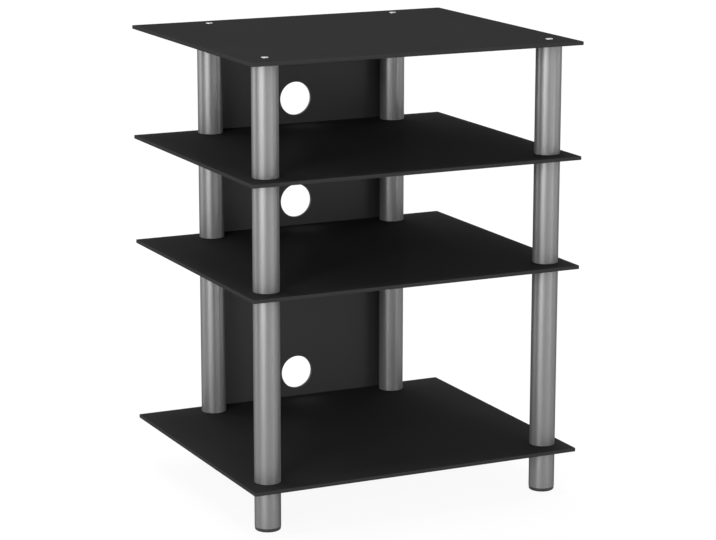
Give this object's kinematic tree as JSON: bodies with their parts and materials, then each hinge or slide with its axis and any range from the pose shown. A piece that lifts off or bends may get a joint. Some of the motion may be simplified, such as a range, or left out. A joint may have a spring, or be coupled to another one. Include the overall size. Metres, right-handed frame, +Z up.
{
  "type": "audio equipment rack",
  "caption": "Open rack for audio equipment: black glass shelves on round satin silver posts, with a black back panel and a round cable hole in each bay, on screw-in levelling feet.",
  "frame": {"origin": "on the floor, below the middle of the glass shelves", "axes": "+Z up, +Y from the open front to the back panels, +X to the right as seen from the front"},
  "size_m": [0.6, 0.522, 0.7838],
  "materials": {
    "black_glass": "tempered glass, opaque black, polished faces and arrised edges",
    "satin_aluminium": "satin silver anodised tube",
    "bright_steel": "bright plated screw head",
    "zinc_steel": "zinc plated steel",
    "black_board": "fibreboard with a smooth satin black laminate",
    "black_plastic": "moulded black plastic, matte"
  },
  "bodies": {
    "rack": {"shelf_bottom": "black_glass", "shelf_middle": "black_glass", "shelf_upper": "black_glass", "shelf_top": "black_glass", "lower_post_front_left": "satin_aluminium", "middle_post_front_left": "satin_aluminium", "upper_post_front_left": "satin_aluminium", "foot_tube_front_left": "satin_aluminium", "lower_post_front_right": "satin_aluminium", "middle_post_front_right": "satin_aluminium", "upper_post_front_right": "satin_aluminium", "foot_tube_front_right": "satin_aluminium", "lower_post_rear_left": "satin_aluminium", "middle_post_rear_left": "satin_aluminium", "upper_post_rear_left": "satin_aluminium", "foot_tube_rear_left": "satin_aluminium", "lower_post_rear_right": "satin_aluminium", "middle_post_rear_right": "satin_aluminium", "upper_post_rear_right": "satin_aluminium", "foot_tube_rear_right": "satin_aluminium", "stud_bottom_shelf_front_left": "zinc_steel", "stud_middle_shelf_front_left": "zinc_steel", "stud_upper_shelf_front_left": "zinc_steel", "stud_bottom_shelf_front_right": "zinc_steel", "stud_middle_shelf_front_right": "zinc_steel", "stud_upper_shelf_front_right": "zinc_steel", "stud_bottom_shelf_rear_left": "zinc_steel", "stud_middle_shelf_rear_left": "zinc_steel", "stud_upper_shelf_rear_left": "zinc_steel", "stud_bottom_shelf_rear_right": "zinc_steel", "stud_middle_shelf_rear_right": "zinc_steel", "stud_upper_shelf_rear_right": "zinc_steel", "cap_screw_front_left": "bright_steel", "cap_screw_front_right": "bright_steel", "cap_screw_rear_left": "bright_steel", "cap_screw_rear_right": "bright_steel", "back_panel_lower": "black_board", "back_panel_middle": "black_board", "back_panel_upper": "black_board", "panel_spacer_lower_left_1": "black_plastic", "panel_spacer_lower_left_2": "black_plastic", "panel_spacer_lower_right_1": "black_plastic", "panel_spacer_lower_right_2": "black_plastic", "panel_spacer_middle_left_1": "black_plastic", "panel_spacer_middle_right_1": "black_plastic", "panel_spacer_upper_left_1": "black_plastic", "panel_spacer_upper_right_1": "black_plastic", "panel_screw_lower_left_1": "zinc_steel", "panel_screw_lower_left_2": "zinc_steel", "panel_screw_lower_right_1": "zinc_steel", "panel_screw_lower_right_2": "zinc_steel", "panel_screw_middle_left_1": "zinc_steel", "panel_screw_middle_right_1": "zinc_steel", "panel_screw_upper_left_1": "zinc_steel", "panel_screw_upper_right_1": "zinc_steel"},
    "front_left_foot": {"levelling_foot_front_left": "black_plastic"},
    "front_right_foot": {"levelling_foot_front_right": "black_plastic"},
    "rear_left_foot": {"levelling_foot_rear_left": "black_plastic"},
    "rear_right_foot": {"levelling_foot_rear_right": "black_plastic"}
  },
  "joints": [
    {"name": "front_left_foot_screw", "type": "slide", "parent": "rack", "child": "front_left_foot", "axis": [0, 0, -1], "range_m": [0, 0.01]},
    {"name": "front_right_foot_screw", "type": "slide", "parent": "rack", "child": "front_right_foot", "axis": [0, 0, -1], "range_m": [0, 0.01]},
    {"name": "rear_left_foot_screw", "type": "slide", "parent": "rack", "child": "rear_left_foot", "axis": [0, 0, -1], "range_m": [0, 0.01]},
    {"name": "rear_right_foot_screw", "type": "slide", "parent": "rack", "child": "rear_right_foot", "axis": [0, 0, -1], "range_m": [0, 0.01]}
  ]
}
